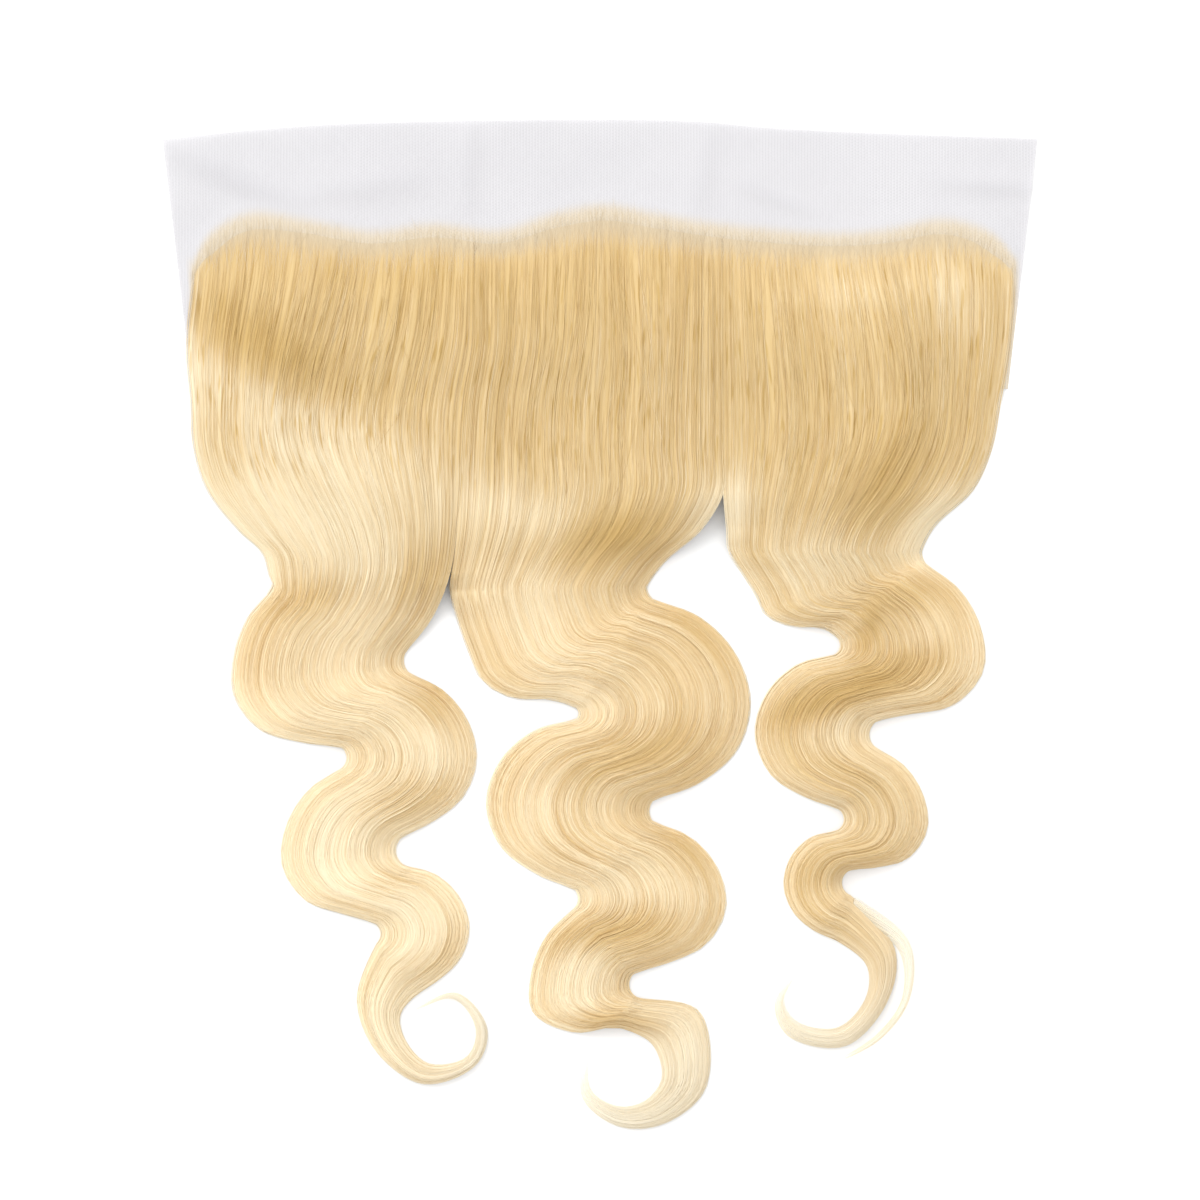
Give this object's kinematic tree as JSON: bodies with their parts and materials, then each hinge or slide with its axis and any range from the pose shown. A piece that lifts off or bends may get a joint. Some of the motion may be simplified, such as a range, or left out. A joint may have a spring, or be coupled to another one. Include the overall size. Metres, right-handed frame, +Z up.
{
  "type": "lace frontal hair piece",
  "caption": "Ear-to-ear band of bare hair lace with long blonde body-wave hair, parted into hanks that end in loose curls, laid flat on a table.",
  "frame": {"origin": "centre of the bounding box's base, on the table under the middle of the piece", "axes": "+X along the lace from ear to ear, +Y towards the lace's front edge, +Z up from the table"},
  "size_m": [0.33, 0.381, 0.0133],
  "materials": {
    "lace": "matt fine net, see-through",
    "hair": "soft satin, light blonde with darker roots and pale tips"
  },
  "bodies": {
    "root": {"lace_base": "lace", "hair_left": "hair", "hair_middle": "hair", "hair_right": "hair"}
  },
  "joints": []
}
